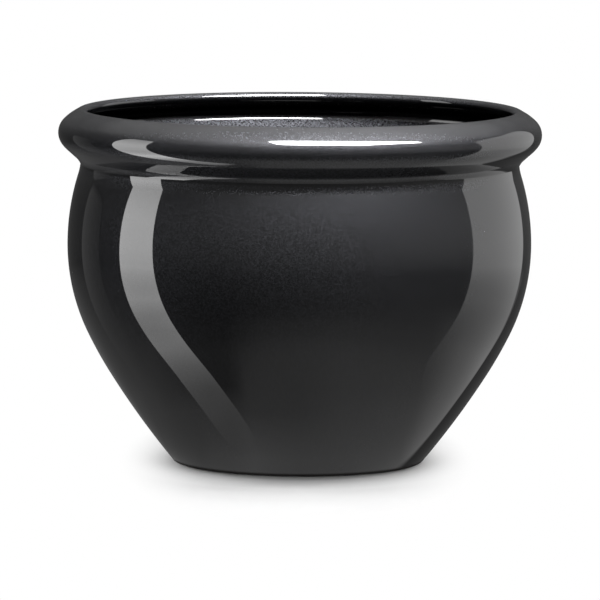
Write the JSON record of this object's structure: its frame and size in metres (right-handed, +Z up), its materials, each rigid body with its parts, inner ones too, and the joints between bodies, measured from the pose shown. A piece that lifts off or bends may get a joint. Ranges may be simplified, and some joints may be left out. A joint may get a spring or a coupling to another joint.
{
  "type": "barro negro black clay pot",
  "caption": "Round-bellied open clay pot, narrow at the foot, with a pinched neck, a fat rolled rim and a beaded lip, in a glossy metallic black finish.",
  "frame": {"origin": "centre of the foot ring, in the plane that the pot stands on", "axes": "+Z up along the pot's axis, foot to mouth; +X and +Y are alike, because the pot is turned"},
  "size_m": [0.3212, 0.3212, 0.2347],
  "materials": {
    "black_gloss_clay": "fired clay, near black all through, with a mirror-smooth gloss over fine metallic grey flecks; bare and matt only on the foot ring"
  },
  "bodies": {
    "root": {"base_dish": "black_gloss_clay", "belly_wall": "black_gloss_clay", "shoulder_wall": "black_gloss_clay", "rim_roll": "black_gloss_clay"}
  },
  "joints": []
}
